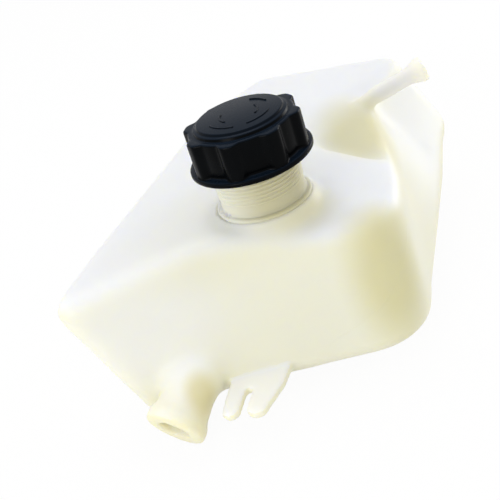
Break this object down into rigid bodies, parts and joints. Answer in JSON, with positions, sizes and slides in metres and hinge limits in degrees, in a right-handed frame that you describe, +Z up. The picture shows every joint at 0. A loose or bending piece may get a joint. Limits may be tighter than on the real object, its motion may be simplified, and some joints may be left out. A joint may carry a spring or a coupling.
{
  "type": "coolant expansion tank",
  "caption": "Blow-moulded expansion tank with a slanted outlet stub, a bleed spout, a slotted mounting tab and a screw cap that holds a pressure valve.",
  "frame": {"origin": "centre of the round end of the mounting slot, half way through the tab", "axes": "+Z runs up the filler neck, +X along the front wall towards the right-hand side, +Y towards the back corner"},
  "size_m": [0.2488, 0.2522, 0.14],
  "materials": {
    "tank_plastic": "natural milky plastic, slightly translucent, satin",
    "cap_plastic": "black satin moulding",
    "housing_plastic": "dark grey moulding",
    "white_plastic": "smooth slippery washer",
    "seal_rubber": "smooth sealing rubber",
    "steel": "bright spring steel and pressed sheet",
    "brass": "turned"
  },
  "bodies": {
    "tank": {"tank": "tank_plastic"},
    "valve_insert": {"valve_housing": "housing_plastic", "neck_gasket": "seal_rubber", "housing_o_ring": "seal_rubber", "spring_cover": "steel", "pressure_spring": "steel"},
    "cap": {"cap_shell": "cap_plastic", "retaining_ring": "steel", "slip_washer": "white_plastic"},
    "pressure_valve": {"pressure_plate": "brass", "pressure_seal": "seal_rubber", "vacuum_spring": "steel"},
    "vacuum_valve": {"vacuum_valve": "brass", "stem_clip": "steel"}
  },
  "joints": [
    {"name": "cap_lift", "type": "slide", "parent": "tank", "child": "valve_insert", "axis": [0, 0, 1], "range_m": [0, 0.00901]},
    {"name": "cap_turn", "type": "hinge", "parent": "valve_insert", "child": "cap", "pos_m": [0.038, 0.05, 0.1], "axis": [0, 0, 1], "range_deg": [0, 810]},
    {"name": "pressure_valve_lift", "type": "slide", "parent": "valve_insert", "child": "pressure_valve", "axis": [0, 0, 1], "range_m": [0, 0.003], "stiffness_N_per_m": 8000, "springref_m": -0.004, "deforming": ["pressure_spring"]},
    {"name": "vacuum_valve_drop", "type": "slide", "parent": "pressure_valve", "child": "vacuum_valve", "axis": [0, 0, -1], "range_m": [0, 0.002], "stiffness_N_per_m": 200, "springref_m": -0.002, "deforming": ["vacuum_spring"]}
  ],
  "couplings": [
    {"joint": "cap_lift", "follows": "cap_turn", "m_per_rad": 0.00063662}
  ]
}
